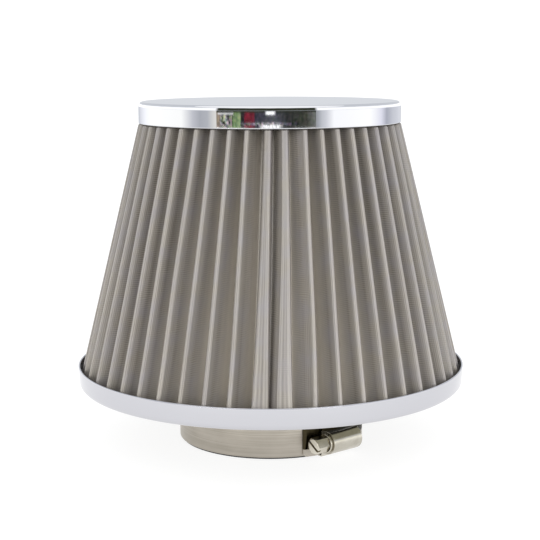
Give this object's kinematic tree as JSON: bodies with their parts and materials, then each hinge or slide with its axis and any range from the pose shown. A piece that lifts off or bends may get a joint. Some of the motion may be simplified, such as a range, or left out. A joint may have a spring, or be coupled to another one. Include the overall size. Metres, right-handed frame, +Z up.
{
  "type": "cone air filter",
  "caption": "Cone-shaped engine air filter: pleated wire-cloth element between a round metal cap and a base pan, with a short rubber neck held by a worm-drive clamp.",
  "frame": {"origin": "centre of the neck's lower rim, on the filter's axis", "axes": "+Z up the filter's axis from the neck to the cap; -Y is the front, where the pleats' seam lies, and the clamp's screw is 40.5 degrees from it towards +X"},
  "size_m": [0.174, 0.174, 0.152],
  "materials": {
    "chromed_steel": "polished",
    "wire_cloth": "woven",
    "gauze": "matt",
    "perforated_steel": "satin",
    "cast_seal": "matt",
    "neck_rubber": "matt",
    "stainless_strip": "brushed",
    "screw_steel": "bright"
  },
  "bodies": {
    "filter": {"cap": "chromed_steel", "cap_seal": "cast_seal", "outer_wire_cloth": "wire_cloth", "filter_medium": "gauze", "inner_wire_cloth": "wire_cloth", "support_cone": "perforated_steel", "base_pan": "chromed_steel", "base_seal": "cast_seal", "neck": "neck_rubber", "clamp_band": "stainless_strip", "clamp_housing": "stainless_strip"},
    "screw": {"clamp_screw": "screw_steel"}
  },
  "joints": [
    {"name": "screw_turn", "type": "hinge", "parent": "filter", "child": "screw", "pos_m": [0.03026, -0.03543, 0.00715], "axis": [0.7604, 0.6494, 0], "continuous": true}
  ]
}
